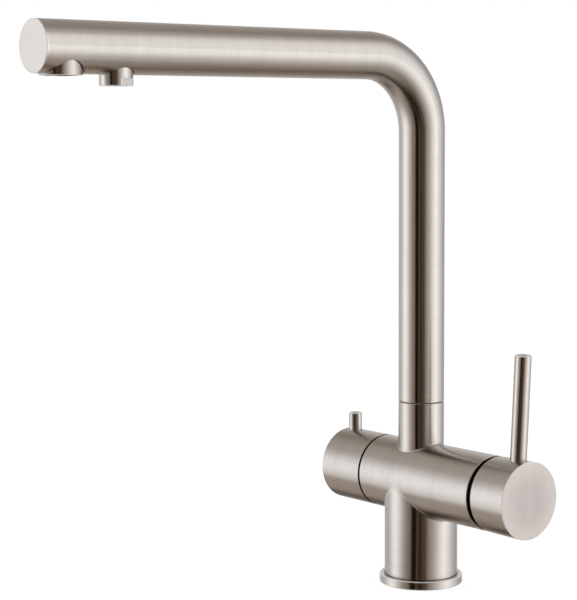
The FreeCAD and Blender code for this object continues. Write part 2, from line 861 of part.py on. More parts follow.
def make_cartridge_retaining_nut():
    roof = cartridge_roof_station()
    outer = nut_diameter / 2 - running
    bore = nut_bore / 2
    start = roof + nut_step
    front = start + nut_height
    half = nut_notch_width / 2
    body = turned([(roof, bore), (roof, cartridge_diameter / 2), (start, cartridge_diameter / 2),
                   (start, outer), (front, outer), (front, bore)], barrel_centre, right)
    notches = []
    for k in range(nut_notch_count):
        notch = block(Vector(front - nut_notch_depth, -half, bore - beyond),
                      Vector(front + beyond, half, bore + nut_notch_reach))
        notch.translate(barrel_centre)
        notch.rotate(barrel_centre, right, 360 * k / nut_notch_count)
        notches.append(notch)
    return body.cut(notches)


def dome_opening():
    """Radius that lets the tipped spindle through."""
    lift = math.radians(lever_lift_angle)
    side = dome_radius * math.sin(lift) + spindle_width / 2 * math.cos(lift)
    return math.hypot(side, spindle_width / 2) + dome_opening_room


def make_cartridge_dome():
    """Threaded ring whose front is part of a ball about the spindle's pivot."""
    start = cartridge_roof_station() + nut_step + nut_height + seated
    outer = nut_diameter / 2 - running
    inner = outer - dome_wall
    inner_radius = dome_radius - dome_wall
    opening = dome_opening()

    def ball_point(radius_of_ball, radius):
        return Vector(radius, 0, pivot_station + math.sqrt(radius_of_ball ** 2 - radius ** 2))

    outer_foot = ball_point(dome_radius, outer)
    outer_lip = ball_point(dome_radius, opening)
    inner_foot = ball_point(inner_radius, inner)
    inner_lip = ball_point(inner_radius, opening)
    outer_middle = ball_point(dome_radius, (outer + opening) / 2)
    inner_middle = ball_point(inner_radius, (inner + opening) / 2)
    edges = [Part.makeLine(Vector(inner, 0, start), Vector(outer, 0, start)),
             Part.makeLine(Vector(outer, 0, start), outer_foot),
             Part.Arc(outer_foot, outer_middle, outer_lip).toShape(),
             Part.makeLine(outer_lip, inner_lip),
             Part.Arc(inner_lip, inner_middle, inner_foot).toShape(),
             Part.makeLine(inner_foot, Vector(inner, 0, start))]
    body = Part.Face(Part.Wire(edges)).revolve(Vector(0, 0, 0), up, 360)
    return placed(body, barrel_centre, right)


def lever_direction():
    lean = math.radians(lever_lean_angle)
    return Vector(math.sin(lean), 0, math.cos(lean))


def lever_foot(height_over_axis):
    """Point on the lever's axis at a height over the barrel's axis."""
    base = Vector(lever_station, 0, barrel_height)
    return base + lever_direction() * (height_over_axis / lever_direction().z)


def lever_seat():
    """Height of the pocket's floor over the barrel's axis."""
    return body_diameter / 2 - pocket_depth


def grub_screw_station():
    return cap_rim + cap_boss_setback + spindle_socket_depth / 2


def make_mixer_handle_cap():
    """Deep cup with a ribbed boss for the spindle and a pocket for the lever."""
    rim = body_diameter / 2
    face = rim + cap_flare
    inner = rim - cap_wall
    roof = cap_front - cap_face
    body = turned([(cap_rim, inner), (cap_rim, rim), (cap_front - cap_edge, face),
                   (cap_front, face - cap_edge), (cap_front, 0), (roof, 0), (roof, inner)],
                  barrel_centre, right)
    boss_start = cap_rim + cap_boss_setback
    boss = rod(cap_boss_diameter / 2, barrel_centre + right * boss_start, roof - boss_start, right)
    half = cap_rib_width / 2
    top_rib = block(Vector(boss_start, -half, barrel_height + cap_boss_diameter / 4),
                    Vector(roof, half, barrel_height + rim - cap_wall / 2))
    low_rib = block(Vector(boss_start, -half, barrel_height - rim + cap_wall / 2),
                    Vector(roof, half, barrel_height - cap_boss_diameter / 4))
    body = body.fuse([boss, top_rib, low_rib]).removeSplitter()
    room = spindle_width / 2 + running
    socket = block(Vector(boss_start - beyond, -room, barrel_height - room),
                   Vector(boss_start + spindle_socket_depth, room, barrel_height + room))
    stud_foot = lever_foot(lever_seat() - lever_stud_length)
    outside = lever_foot(face + beyond)
    stud_hole = drill(lever_stud_diameter / 2 + seated, stud_foot, outside)
    pocket = drill(lever_diameter / 2 + running, lever_foot(lever_seat()), outside)
    screw_axis = Vector(grub_screw_station(), 0, barrel_height)
    screw_hole = drill(grub_screw_diameter / 2, screw_axis, screw_axis - up * (face + beyond))
    return body.cut([socket, stud_hole, pocket, screw_hole])


def make_mixer_lever_pin():
    radius = lever_diameter / 2
    stud = lever_stud_diameter / 2
    seat = lever_foot(lever_seat() + seated)
    length = (barrel_height + lever_rise - seat.z) / lever_direction().z
    start = stud_room - lever_stud_length
    return turned([(start, 0), (start, stud), (0, stud), (0, radius), (length - lever_edge, radius),
                   (length, radius - lever_edge), (length, 0)], seat, lever_direction())


def grub_screw(diameter, length, tip, direction):
    """Socket-head screw without a head: a short rod with a hexagon hole in its outer end."""
    body = rod(diameter / 2 - seated, tip, length, direction)
    key = hexagon(diameter / 2, tip + direction * length, length / 2, direction * -1)
    return body.cut(key)


def make_mixer_handle_screw():
    tip = Vector(grub_screw_station(), 0, barrel_height - spindle_width / 2 - seated)
    return grub_screw(grub_screw_diameter, grub_screw_length, tip, down)


def valve_disc_station():
    return valve_seat + valve_seal_thickness + seated


def valve_head_station():
    """Where the spindle's wide head starts, behind the two discs."""
    return valve_disc_station() + 2 * valve_disc_thickness + 2 * seated


def valve_stem_station():
    return valve_head_station() + valve_head_thickness + seated


def make_filter_valve_seal():
    return tube(valve_thread_diameter / 2 - valve_seal_room, valve_seal_bore / 2,
                barrel_centre + left * valve_seat, valve_seal_thickness, left)


def valve_disc(radius, station, middle_angle):
    """Ceramic disc with two windows, open when its windows face those of its neighbour."""
    start = barrel_centre + left * station
    body = rod(radius, start, valve_disc_thickness, left)
    windows = [sector(radius - valve_disc_rim, valve_disc_angle, middle_angle + turn,
                      start + right * beyond, valve_disc_thickness + 2 * beyond, left)
               for turn in (0, 180)]
    core = rod(valve_disc_core_diameter / 2, start, valve_disc_thickness, left)
    return body.cut(windows).fuse(core).removeSplitter()


def make_filter_fixed_disc():
    return valve_disc(valve_cavity_diameter / 2 - running, valve_disc_station(), 0)


def make_filter_moving_disc():
    return valve_disc(valve_cavity_diameter / 2 - 2 * running,
                      valve_disc_station() + valve_disc_thickness + seated, 90)


def make_filter_valve_body():
    thread = valve_thread_diameter / 2 - running
    waist = valve_waist_diameter / 2
    cavity = valve_cavity_diameter / 2
    bore = valve_stem_diameter / 2 + running
    start = valve_seat + valve_seal_thickness
    waist_start = start + valve_inner_land
    waist_end = valve_stem_station() - valve_outer_land
    hex_start = barrel_left_length + seated
    hex_end = hex_start + valve_hex_height
    neck_end = hex_end + valve_neck_length
    neck = valve_neck_diameter / 2
    roof = valve_stem_station()
    body = turned([(start, cavity), (start, thread), (waist_start, thread), (waist_start, waist),
                   (waist_end, waist), (waist_end, thread), (hex_start, thread),
                   (hex_start, neck), (neck_end, neck), (neck_end, bore), (roof, bore),
                   (roof, cavity)], barrel_centre, left)
    head = hexagon(valve_hex_width, barrel_centre + left * hex_start, valve_hex_height, left)
    head = head.cut(rod(bore, barrel_centre, neck_end, left))
    body = body.fuse(head).removeSplitter()
    window_low = valve_head_station()
    half = valve_window_width / 2
    windows = block(Vector(valve_window_margin - waist_end, -half, barrel_height - thread - beyond),
                    Vector(-window_low, half, barrel_height + thread + beyond))
    return body.cut(windows)


def make_filter_valve_spindle():
    head = valve_cavity_diameter / 2 - 3 * running
    stem = valve_stem_diameter / 2
    start = valve_head_station()
    neck = start + valve_head_thickness
    groove_bottom = stem - valve_ring_section - seated
    stations = [(start, 0), (start, head), (neck, head), (neck, stem)]
    for offset in valve_rings_from_head:
        low = neck + offset - valve_ring_groove / 2
        stations += [(low, stem), (low, groove_bottom), (low + valve_ring_groove, groove_bottom),
                     (low + valve_ring_groove, stem)]
    stations += [(valve_stem_end - valve_stem_edge, stem), (valve_stem_end, stem - valve_stem_edge),
                 (valve_stem_end, 0)]
    body = turned(stations, barrel_centre, left)
    flat_start = knob_boss_station()
    flat = block(Vector(-valve_stem_end - beyond, -stem - beyond, barrel_height - stem - beyond),
                 Vector(-flat_start, stem + beyond, barrel_height - stem + valve_stem_flat))
    half = valve_head_slot_width / 2
    slot = block(Vector(valve_head_floor - neck, -head - beyond, barrel_height - half),
                 Vector(beyond - start, head + beyond, barrel_height + half))
    return body.cut([flat, slot])


def make_filter_spindle_o_rings():
    neck = valve_head_station() + valve_head_thickness
    middle = valve_stem_diameter / 2 - valve_ring_section / 2
    return [soft_ring(middle, valve_ring_section - seated, barrel_centre + left * (neck + offset), left)
            for offset in valve_rings_from_head]


def knob_boss_station():
    return knob_front - knob_face - knob_boss_length


def knob_screw_station():
    return knob_boss_station() + knob_boss_length / 2


def knob_pin_foot(height_over_axis):
    return Vector(knob_pin_from_face - knob_front, 0, barrel_height + height_over_axis)


def knob_pin_seat():
    return body_diameter / 2 - pocket_depth


def make_filter_knob():
    outer = body_diameter / 2
    inner = outer - knob_wall
    roof = knob_front - knob_face
    body = turned([(knob_rim, inner), (knob_rim, outer - barrel_edge), (knob_rim + barrel_edge, outer),
                   (knob_front - knob_edge, outer), (knob_front, outer - knob_edge), (knob_front, 0),
                   (roof, 0), (roof, inner)], barrel_centre, left)
    boss = rod(knob_boss_diameter / 2, barrel_centre + left * knob_boss_station(), knob_boss_length,
               left)
    body = body.fuse(boss).removeSplitter()
    stem_hole = rod(valve_stem_diameter / 2 + seated, barrel_centre, valve_stem_end + knob_stem_room,
                    left)
    outside = knob_pin_foot(outer + beyond)
    stud_foot = knob_pin_foot(knob_pin_seat() - knob_pin_stud_length - stud_room)
    stud_hole = drill(knob_pin_stud_diameter / 2 + seated, stud_foot, outside)
    pocket = drill(knob_pin_diameter / 2 + running, knob_pin_foot(knob_pin_seat()), outside)
    screw_axis = barrel_centre + left * knob_screw_station()
    screw_hole = drill(knob_screw_diameter / 2, screw_axis, screw_axis - up * (outer + beyond))
    return body.cut([stem_hole, stud_hole, pocket, screw_hole])


def make_filter_knob_pin():
    radius = knob_pin_diameter / 2
    stud = knob_pin_stud_diameter / 2
    seat = knob_pin_foot(knob_pin_seat() + seated)
    length = barrel_height + knob_pin_rise - seat.z
    return turned([(-knob_pin_stud_length, 0), (-knob_pin_stud_length, stud), (0, stud), (0, radius),
                   (length - lever_edge, radius), (length, radius - lever_edge), (length, 0)],
                  seat, up)


def make_filter_knob_screw():
    flat = valve_stem_diameter / 2 - valve_stem_flat
    tip = barrel_centre + left * knob_screw_station() - up * (flat + seated)
    length = knob_boss_diameter / 2 - flat - knob_screw_setback
    return grub_screw(knob_screw_diameter, length, tip, down)


makers = {
    "base_flange": make_base_flange,
    "base_seal": make_base_seal,
    "tap_body": make_tap_body,
    "swivel_bush": make_swivel_bush,
    "swivel_washer": make_swivel_washer,
    "spout_retaining_screw": make_spout_retaining_screw,
    "spout_tube": make_spout_tube,
    "spout_end_cap": make_spout_end_cap,
    "spout_insert": make_spout_insert,
    "spout_o_rings": make_spout_o_rings,
    "filter_feed_tube": make_filter_feed_tube,
    "main_outlet_socket": make_main_outlet_socket,
    "aerator_housing": make_aerator_housing,
    "aerator_insert": make_aerator_insert,
    "aerator_washer": make_aerator_washer,
    "filter_outlet_socket": make_filter_outlet_socket,
    "filter_outlet_nozzle": make_filter_outlet_nozzle,
    "filter_outlet_insert": make_filter_outlet_insert,
    "cartridge_base": make_cartridge_base,
    "cartridge_base_seals": make_cartridge_base_seals,
    "fixed_ceramic_disc": make_fixed_ceramic_disc,
    "moving_ceramic_disc": make_moving_ceramic_disc,
    "disc_carrier": make_disc_carrier,
    "cartridge_housing": make_cartridge_housing,
    "cartridge_turning_collar": make_cartridge_turning_collar,
    "cartridge_pivot_pin": make_cartridge_pivot_pin,
    "cartridge_spindle": make_cartridge_spindle,
    "cartridge_retaining_nut": make_cartridge_retaining_nut,
    "cartridge_dome": make_cartridge_dome,
    "mixer_handle_cap": make_mixer_handle_cap,
    "mixer_lever_pin": make_mixer_lever_pin,
    "mixer_handle_screw": make_mixer_handle_screw,
    "filter_valve_seal": make_filter_valve_seal,
    "filter_fixed_disc": make_filter_fixed_disc,
    "filter_moving_disc": make_filter_moving_disc,
    "filter_valve_body": make_filter_valve_body,
    "filter_valve_spindle": make_filter_valve_spindle,
    "filter_spindle_o_rings": make_filter_spindle_o_rings,
    "filter_knob": make_filter_knob,
    "filter_knob_pin": make_filter_knob_pin,
    "filter_knob_screw": make_filter_knob_screw,
}

os.makedirs("parts", exist_ok=True)
for node, maker in makers.items():
    shape = maker()
    if isinstance(shape, list):
        shape = Part.makeCompound(shape)
    shape.exportStep("parts/" + node + ".step")
    print(node, "solids", len(shape.Solids), "volume", round(shape.Volume, 1), shape.isValid())
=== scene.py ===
import bpy
import bmesh
import math
from mathutils import Matrix, Vector


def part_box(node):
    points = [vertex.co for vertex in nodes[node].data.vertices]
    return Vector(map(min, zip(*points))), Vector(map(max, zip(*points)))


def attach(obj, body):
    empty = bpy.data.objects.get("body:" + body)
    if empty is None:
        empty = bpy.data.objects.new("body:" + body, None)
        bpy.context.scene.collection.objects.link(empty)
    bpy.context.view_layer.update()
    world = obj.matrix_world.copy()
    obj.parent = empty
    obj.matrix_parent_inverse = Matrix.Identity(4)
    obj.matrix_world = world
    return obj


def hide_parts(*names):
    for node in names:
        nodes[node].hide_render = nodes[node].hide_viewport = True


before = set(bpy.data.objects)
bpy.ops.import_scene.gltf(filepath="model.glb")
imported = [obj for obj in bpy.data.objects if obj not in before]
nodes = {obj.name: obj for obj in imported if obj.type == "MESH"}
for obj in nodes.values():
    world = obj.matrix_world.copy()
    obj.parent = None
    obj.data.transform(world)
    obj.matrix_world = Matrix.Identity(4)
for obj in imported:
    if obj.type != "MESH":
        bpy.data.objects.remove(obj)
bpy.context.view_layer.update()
scene = bpy.context.scene
scene.view_settings.view_transform = "Standard"

# Camera
# A long lens near the level of the spout, in front of the tap and to its right.
camera_place = Vector((0.846351, -0.787964, 0.298474))
camera_right = Vector((0.62495, 0.78065, -0.00485))
camera_up = Vector((-0.07218, 0.06397, 0.99534))
camera_back = camera_right.cross(camera_up)
sensor_width = 36.0
frame_height_pixels = 600
focal_length_pixels = 1776.35
camera = bpy.data.cameras.new("camera")
camera.sensor_fit = "AUTO"
camera.sensor_width = sensor_width
camera.lens = sensor_width * focal_length_pixels / frame_height_pixels
camera.clip_start = 0.01
camera.clip_end = 200.0
camera_stand = bpy.data.objects.new("camera", camera)
camera_turn = Matrix((camera_right, camera_up, camera_back)).transposed().to_4x4()
camera_stand.matrix_world = Matrix.Translation(camera_place) @ camera_turn
scene.collection.objects.link(camera_stand)
scene.camera = camera_stand


# Studio floor and surroundings
# A wide white floor in a white room.  Both look plain white; the floor keeps part of its real
# shading, so that the tap casts a soft shadow.
def add_node(tree, kind, inputs=(), **options):
    """A shader node with its options set and its inputs set or linked."""
    made = tree.nodes.new(kind)
    for option, value in options.items():
        setattr(made, option, value)
    for socket, value in dict(inputs).items():
        if isinstance(value, bpy.types.NodeSocket):
            tree.links.new(value, made.inputs[socket])
        else:
            made.inputs[socket].default_value = value
    return made


def calculate(tree, operation, *values):
    """A math node's result."""
    return add_node(tree, "ShaderNodeMath", enumerate(values), operation=operation).outputs[0]


def new_material(name):
    """A material with an empty node tree, and that tree."""
    material = bpy.data.materials.new(name)
    material.use_nodes = True
    material.node_tree.nodes.clear()
    return material, material.node_tree


def sees_background(tree):
    """1 for rays from the camera, from gloss or through glass."""
    path = add_node(tree, "ShaderNodeLightPath")
    seen = calculate(tree, "MAXIMUM", path.outputs["Is Camera Ray"], path.outputs["Is Glossy Ray"])
    return calculate(tree, "MAXIMUM", seen, path.outputs["Is Transmission Ray"])


def new_object(name, shape, material):
    """An object with its material, made from a finished bmesh."""
    mesh = bpy.data.meshes.new(name)
    shape.to_mesh(mesh)
    shape.free()
    mesh.materials.append(material)
    made = bpy.data.objects.new(name, mesh)
    scene.collection.objects.link(made)
    return made


def stage_object(name, shape, material):
    """An object of the studio."""
    made = new_object(name, shape, material)
    return made


floor_half_width = 60.0
floor_white = (0.9, 0.9, 0.9, 1)
floor_shaded_share = 0.3
floor_glow = 0.80
floor_paint, tree = new_material("floor_paint")
plain = add_node(tree, "ShaderNodeBsdfDiffuse", {"Color": floor_white})
shaded = add_node(tree, "ShaderNodeBsdfDiffuse", {"Color": [floor_shaded_share] * 3 + [1]})
glow = add_node(tree, "ShaderNodeEmission", {"Color": (1, 1, 1, 1), "Strength": floor_glow})
white = add_node(tree, "ShaderNodeAddShader", {0: shaded.outputs[0], 1: glow.outputs[0]})
mixed = add_node(tree, "ShaderNodeMixShader", {0: sees_background(tree), 1: plain.outputs[0],
                                               2: white.outputs[0]})
add_node(tree, "ShaderNodeOutputMaterial", {"Surface": mixed.outputs[0]})
shape = bmesh.new()
bmesh.ops.create_grid(shape, x_segments=1, y_segments=1, size=floor_half_width)
floor = stage_object("studio_floor", shape, floor_paint)

room_light = (0.75, 0.75, 0.75, 1)
world = bpy.data.worlds.new("studio_room")
world.use_nodes = True
world.node_tree.nodes.clear()
tree = world.node_tree
room = add_node(tree, "ShaderNodeBackground", {"Color": room_light})
backdrop = add_node(tree, "ShaderNodeBackground", {"Color": (1, 1, 1, 1), "Strength": 1.0})
mixed = add_node(tree, "ShaderNodeMixShader", {0: sees_background(tree), 1: room.outputs[0],
                                               2: backdrop.outputs[0]})
add_node(tree, "ShaderNodeOutputWorld", {"Surface": mixed.outputs[0]})
scene.world = world

# Softboxes
# Two large soft lamps, one at either side of the camera and a little above it.
softbox_power = 7.0
softbox_width = 0.9
softbox_height = 1.2
softbox_distance = 1.3
softbox_aim = Vector((0, 0, 0.2))
softbox_rise = 0.35
left_softbox_azimuth = math.radians(-144)
right_softbox_azimuth = math.radians(34)
for name, azimuth in (("left_softbox", left_softbox_azimuth),
                      ("right_softbox", right_softbox_azimuth)):
    lamp = bpy.data.lights.new(name, "AREA")
    lamp.shape = "RECTANGLE"
    lamp.size = softbox_width
    lamp.size_y = softbox_height
    lamp.energy = softbox_power
    stand = bpy.data.objects.new(name, lamp)
    direction = Vector((math.cos(azimuth), math.sin(azimuth), softbox_rise))
    facing = direction.to_track_quat("Z", "Y").to_matrix().to_4x4()
    stand.matrix_world = Matrix.Translation(direction * softbox_distance + softbox_aim) @ facing
    stand.visible_glossy = False
    stand.visible_camera = False
    scene.collection.objects.link(stand)

# Light tent
# The bright and dark cloths that stand round shiny metal: bright at both sides, grey above and below,
# black where the camera looks in.  Only reflections see it, in place of the floor.
tent_radius = 9.0
tent_centre = Vector((0, 0, 0.2))
tent_strength = 2.15
camera_azimuth = math.atan2(camera_place.y, camera_place.x)
tent_cloth, tree = new_material("tent_cloth")
place = add_node(tree, "ShaderNodeTexCoord").outputs["Object"]
from_centre = add_node(tree, "ShaderNodeVectorMath", {0: place, 1: tent_centre}, operation="SUBTRACT")
turned = add_node(tree, "ShaderNodeMapping", {"Vector": from_centre.outputs[0],
                                              "Rotation": (0, 0, -camera_azimuth)})
offset = add_node(tree, "ShaderNodeSeparateXYZ", {0: turned.outputs[0]})
azimuth = calculate(tree, "ARCTAN2", offset.outputs["Y"], offset.outputs["X"])
elevation = calculate(tree, "ARCSINE", calculate(tree, "DIVIDE", offset.outputs["Z"], tent_radius))
green_loss = 0.45
blue_loss = 0.8


def cloth_ramp(tree, angle, limit, stops):
    """Colours by angle between -limit and +limit degrees.  A stop is (degrees, brightness, warmth),
    and warmth takes green and blue away."""
    share = calculate(tree, "MULTIPLY_ADD", angle, 90 / (math.pi * limit), 0.5)
    ramp = add_node(tree, "ShaderNodeValToRGB", {0: share})
    elements = ramp.color_ramp.elements
    elements.remove(elements[0])
    for number, (degrees, brightness, warmth) in enumerate(stops):
        position = 0.5 + degrees / (2 * limit)
        element = elements.new(position) if number else elements[0]
        element.position = position
        element.color = (brightness, brightness * (1 - green_loss * warmth),
                         brightness * (1 - blue_loss * warmth), 1)
    return ramp.outputs[0]


wall_tone = cloth_ramp(tree, azimuth, 180, (
    (-180, 0.50, 0.05), (-168, 0.42, 0.05), (-155, 0.34, 0.05), (-131, 0.37, 0.05),
    (-119, 0.44, 0.03), (-112, 0.51, 0.0), (-101, 0.76, 0.0), (-90, 0.88, 0.0), (-80, 0.78, 0.0),
    (-70, 0.59, 0.05), (-61, 0.40, 0.12), (-48, 0.225, 0.25), (-33, 0.145, 0.5), (-31, 0.001, 0.6),
    (-17, 0.001, 0.6), (-15, 0.080, 0.65), (-10.5, 0.075, 0.65), (-8, 0.060, 0.65),
    (14, 0.070, 0.65), (17, 0.14, 0.45), (24, 0.24, 0.28), (36, 0.37, 0.2), (48, 0.525, 0.1),
    (61, 0.74, 0.05), (78, 0.93, 0.02), (95, 0.73, 0.0), (110, 0.53, 0.0), (120, 0.43, 0.05),
    (130, 0.35, 0.05), (145, 0.25, 0.05), (180, 0.50, 0.05)))
upper_tone = cloth_ramp(tree, azimuth, 180, (
    (-180, 0.20, 0.3), (-160, 0.16, 0.45), (-145, 0.15, 0.45), (-128, 0.24, 0.35), (-118, 0.28, 0.3),
    (-109, 0.31, 0.25), (-100, 0.32, 0.2), (-48, 0.23, 0.3), (-34, 0.10, 0.5), (-30, 0.015, 0.7),
    (15, 0.02, 0.7), (24, 0.14, 0.4), (90, 0.42, 0.15), (98, 0.40, 0.2), (106, 0.30, 0.25),
    (115, 0.165, 0.3), (126, 0.185, 0.3), (155, 0.205, 0.28), (180, 0.20, 0.3)))
lower_tone = cloth_ramp(tree, azimuth, 180, (
    (-180, 0.22, 0.3), (-168, 0.16, 0.45), (-157, 0.13, 0.5), (-150, 0.17, 0.45), (-144, 0.215, 0.42),
    (-125, 0.245, 0.4), (-109, 0.275, 0.33), (-98, 0.30, 0.25), (-48, 0.14, 0.5), (-32, 0.02, 0.7),
    (15, 0.03, 0.7), (40, 0.14, 0.5), (88, 0.30, 0.2), (104, 0.252, 0.3), (117, 0.225, 0.55),
    (122, 0.20, 0.65), (128, 0.13, 0.8), (134, 0.10, 0.8), (142, 0.10, 0.8), (155, 0.135, 0.65),
    (168, 0.16, 0.5), (180, 0.22, 0.3)))
left_height = cloth_ramp(tree, elevation, 90, (
    (-90, 0.60, 0.2), (-33, 0.64, 0.15), (-23, 0.76, 0.05), (-13, 0.92, 0.0), (-3, 1.0, 0.0),
    (8, 0.93, 0.0), (19, 0.70, 0.03), (28, 0.60, 0.1), (90, 0.55, 0.2)))
right_height = cloth_ramp(tree, elevation, 90, (
    (-90, 0.42, 0.3), (-43, 0.46, 0.2), (-34, 0.52, 0.15), (-23, 0.74, 0.05), (-13, 0.93, 0.0),
    (-3, 1.0, 0.0), (8, 0.88, 0.0), (29, 0.86, 0.03), (40, 0.78, 0.08), (49, 0.65, 0.15),
    (90, 0.6, 0.2)))
rightness = calculate(tree, "MULTIPLY_ADD", calculate(tree, "SINE", azimuth), 0.5, 0.5)


def mix_colours(tree, share, first, second, **options):
    """The second colour in the first, by its share."""
    return add_node(tree, "ShaderNodeMix", {0: share, 6: first, 7: second}, data_type="RGBA",
                    **options).outputs[2]


def remap(tree, value, start, end, low=0.0, high=1.0, smooth=False):
    """The value between start and end, drawn out to low and high."""
    made = add_node(tree, "ShaderNodeMapRange", {"Value": value, "From Min": start, "From Max": end,
                                                 "To Min": low, "To Max": high})
    made.interpolation_type = "SMOOTHSTEP" if smooth else "LINEAR"
    return made.outputs[0]


def rise(tree, value, left_limits, right_limits):
    """0 to 1 as the value goes between limits, in degrees, that change from left to right."""
    limits = []
    for left, right in zip(left_limits, right_limits):
        limits.append(calculate(tree, "MULTIPLY_ADD", rightness, math.radians(right - left),
                                math.radians(left)))
    return remap(tree, value, *limits, smooth=True)


def darken(tree, tone, share, middle, inner, outer):
    """The tone with a black strip at the azimuth middle, which is black for inner degrees to either
    side and fades until outer degrees."""
    offset = calculate(tree, "ABSOLUTE", calculate(tree, "SUBTRACT", azimuth, math.radians(middle)))
    strip = remap(tree, offset, math.radians(outer), math.radians(inner), smooth=True)
    return mix_colours(tree, calculate(tree, "MULTIPLY", share, strip), tone, (0, 0, 0, 1))


tone = mix_colours(tree, 1.0, wall_tone, mix_colours(tree, rightness, left_height, right_height),
                   blend_type="MULTIPLY")
upper_share = rise(tree, elevation, left_limits=(18, 40), right_limits=(44, 53))
tone = mix_colours(tree, upper_share, tone, upper_tone)
depression = calculate(tree, "MULTIPLY", elevation, -1.0)
lower_share = rise(tree, depression, left_limits=(24, 36), right_limits=(40, 50))
tone = mix_colours(tree, lower_share, tone, lower_tone)
under_camera = remap(tree, elevation, start=math.radians(-9.3), end=math.radians(-10.3))
tone = darken(tree, tone, under_camera, middle=-4, inner=5, outer=6.5)
under_back = remap(tree, elevation, start=math.radians(-36), end=math.radians(-45))
tone = darken(tree, tone, under_back, middle=-154, inner=9, outer=19)
cloth = add_node(tree, "ShaderNodeEmission", {"Color": tone, "Strength": tent_strength})
add_node(tree, "ShaderNodeOutputMaterial", {"Surface": cloth.outputs[0]})
tent_cloth.cycles.emission_sampling = "NONE"
shape = bmesh.new()
bmesh.ops.create_uvsphere(shape, u_segments=96, v_segments=48, radius=tent_radius)
bmesh.ops.translate(shape, verts=shape.verts, vec=tent_centre)
bmesh.ops.reverse_faces(shape, faces=shape.faces)
tent = stage_object("light_tent", shape, tent_cloth)
tent.visible_camera = False
tent.visible_diffuse = False
tent.visible_shadow = False
tent.visible_transmission = False
floor.visible_glossy = False


# Foot ring
# A flat stainless ring under the column, turned on a lathe.  Like every steel piece that shows, it is
# satin brushed: the fine lines run round it, so that gloss spreads across them, along its axis.
def object_place(tree):
    """Place and normal on the piece's own coordinates."""
    coordinates = add_node(tree, "ShaderNodeTexCoord")
    return coordinates.outputs["Object"], coordinates.outputs["Normal"]


def combine(tree, operation, first, second):
    """A vector math node's vector."""
    made = add_node(tree, "ShaderNodeVectorMath", {0: first, 1: second}, operation=operation)
    return made.outputs[0]


def measure(tree, operation, first, second=(0, 0, 0)):
    """A vector math node's number."""
    made = add_node(tree, "ShaderNodeVectorMath", {0: first, 1: second}, operation=operation)
    return made.outputs["Value"]


def scaled(tree, vector, factor):
    """The vector times a number."""
    made = add_node(tree, "ShaderNodeVectorMath", {0: vector, "Scale": factor}, operation="SCALE")
    return made.outputs[0]


def noise(tree, place, scale, detail):
    """A noise texture's grey value."""
    return add_node(tree, "ShaderNodeTexNoise", {"Vector": place, "Scale": scale, "Detail": detail,
                                                 "Roughness": 0.6}).outputs["Fac"]


def in_world(tree, vector):
    """A direction of the piece, turned with the body that it rides on."""
    return add_node(tree, "ShaderNodeVectorTransform", {0: vector}, vector_type="VECTOR",
                    convert_from="OBJECT", convert_to="WORLD").outputs[0]


def brush_lines(tree, across, place, lines_per_metre, drift_per_metre, detail):
    """Grey value of lines that lie close together across, and change slowly along their run."""
    line_place = add_node(tree, "ShaderNodeCombineXYZ", {
        "X": calculate(tree, "MULTIPLY", across, lines_per_metre)}).outputs[0]
    drift = scaled(tree, place, drift_per_metre)
    return noise(tree, combine(tree, "ADD", line_place, drift), 1.0, detail)


fine_share = 0.4
middle_share = 0.15
broad_share = 0.45
steel_tint = Vector((1.0, 0.955, 0.915))
tone_swing = 0.05
# The colour of the painted highlight on edges, and of the painted shade in seams and joints.
painted_edge_highlight = (0.78, 0.76, 0.74, 1)
painted_seam_shade = (0.040, 0.024, 0.015, 1)


def brushed_steel(tree, across, place, tangent, edge, shade, tint=(1, 1, 1, 1), roughness=0.24,
                  tone=0.54):
    """Satin stainless steel: edges get a painted highlight, and painted shade where shade is 1."""
    fine = brush_lines(tree, across, place, lines_per_metre=5200.0, drift_per_metre=60.0,
                       detail=2.0)
    middle = brush_lines(tree, across, place, lines_per_metre=1100.0, drift_per_metre=24.0,
                         detail=2.0)
    broad = brush_lines(tree, across, place, lines_per_metre=120.0, drift_per_metre=16.0,
                        detail=3.0)
    lines = calculate(tree, "MULTIPLY", middle, middle_share)
    lines = calculate(tree, "MULTIPLY_ADD", fine, fine_share, lines)
    lines = calculate(tree, "MULTIPLY_ADD", broad, broad_share, lines)
    colour = mix_colours(tree, lines, (*(steel_tint * (tone - tone_swing)), 1),
                         (*(steel_tint * (tone + tone_swing)), 1))
    colour = mix_colours(tree, 1.0, colour, tint, blend_type="MULTIPLY")
    # Edges get a painted highlight: a light colour, less metallic and rougher.
    colour = mix_colours(tree, edge, colour, painted_edge_highlight)
    # Where shade is 1 the colour is painted dark: painted shade in seams and joints.
    colour = mix_colours(tree, shade, colour, painted_seam_shade)
    line_roughness = remap(tree, lines, 0.3, 0.7, roughness * 1.08, roughness * 0.92)
    edge_roughness = add_node(tree, "ShaderNodeMix", {0: edge, 2: line_roughness, 3: 0.5}).outputs[0]
    metal_share = calculate(tree, "MULTIPLY_ADD", edge, -0.7, 1.0)
    bump = add_node(tree, "ShaderNodeBump", {"Height": lines, "Strength": 0.08, "Distance": 0.00001})
    steel = add_node(tree, "ShaderNodeBsdfPrincipled", {
        "Base Color": colour, "Metallic": metal_share, "Roughness": edge_roughness,
        "Anisotropic": 1.0, "Normal": bump.outputs[0], "Tangent": tangent})
    add_node(tree, "ShaderNodeOutputMaterial", {"Surface": steel.outputs[0]})


def lathe_place(tree, axis, centre):
    """Where a point of a turned piece is: from the centre, along the axis and off it, and how much
    its surface faces along the axis, from -1 to 1."""
    place, normal = object_place(tree)
    local = combine(tree, "SUBTRACT", place, centre)
    along = measure(tree, "DOT_PRODUCT", local, axis)
    radial = combine(tree, "SUBTRACT", local, scaled(tree, axis, along))
    return local, along, radial, measure(tree, "DOT_PRODUCT", normal, axis)


face_limit = 0.85
face_middle_radius = 0.008
face_rim_radius = 0.024
joint_fade = 0.0004


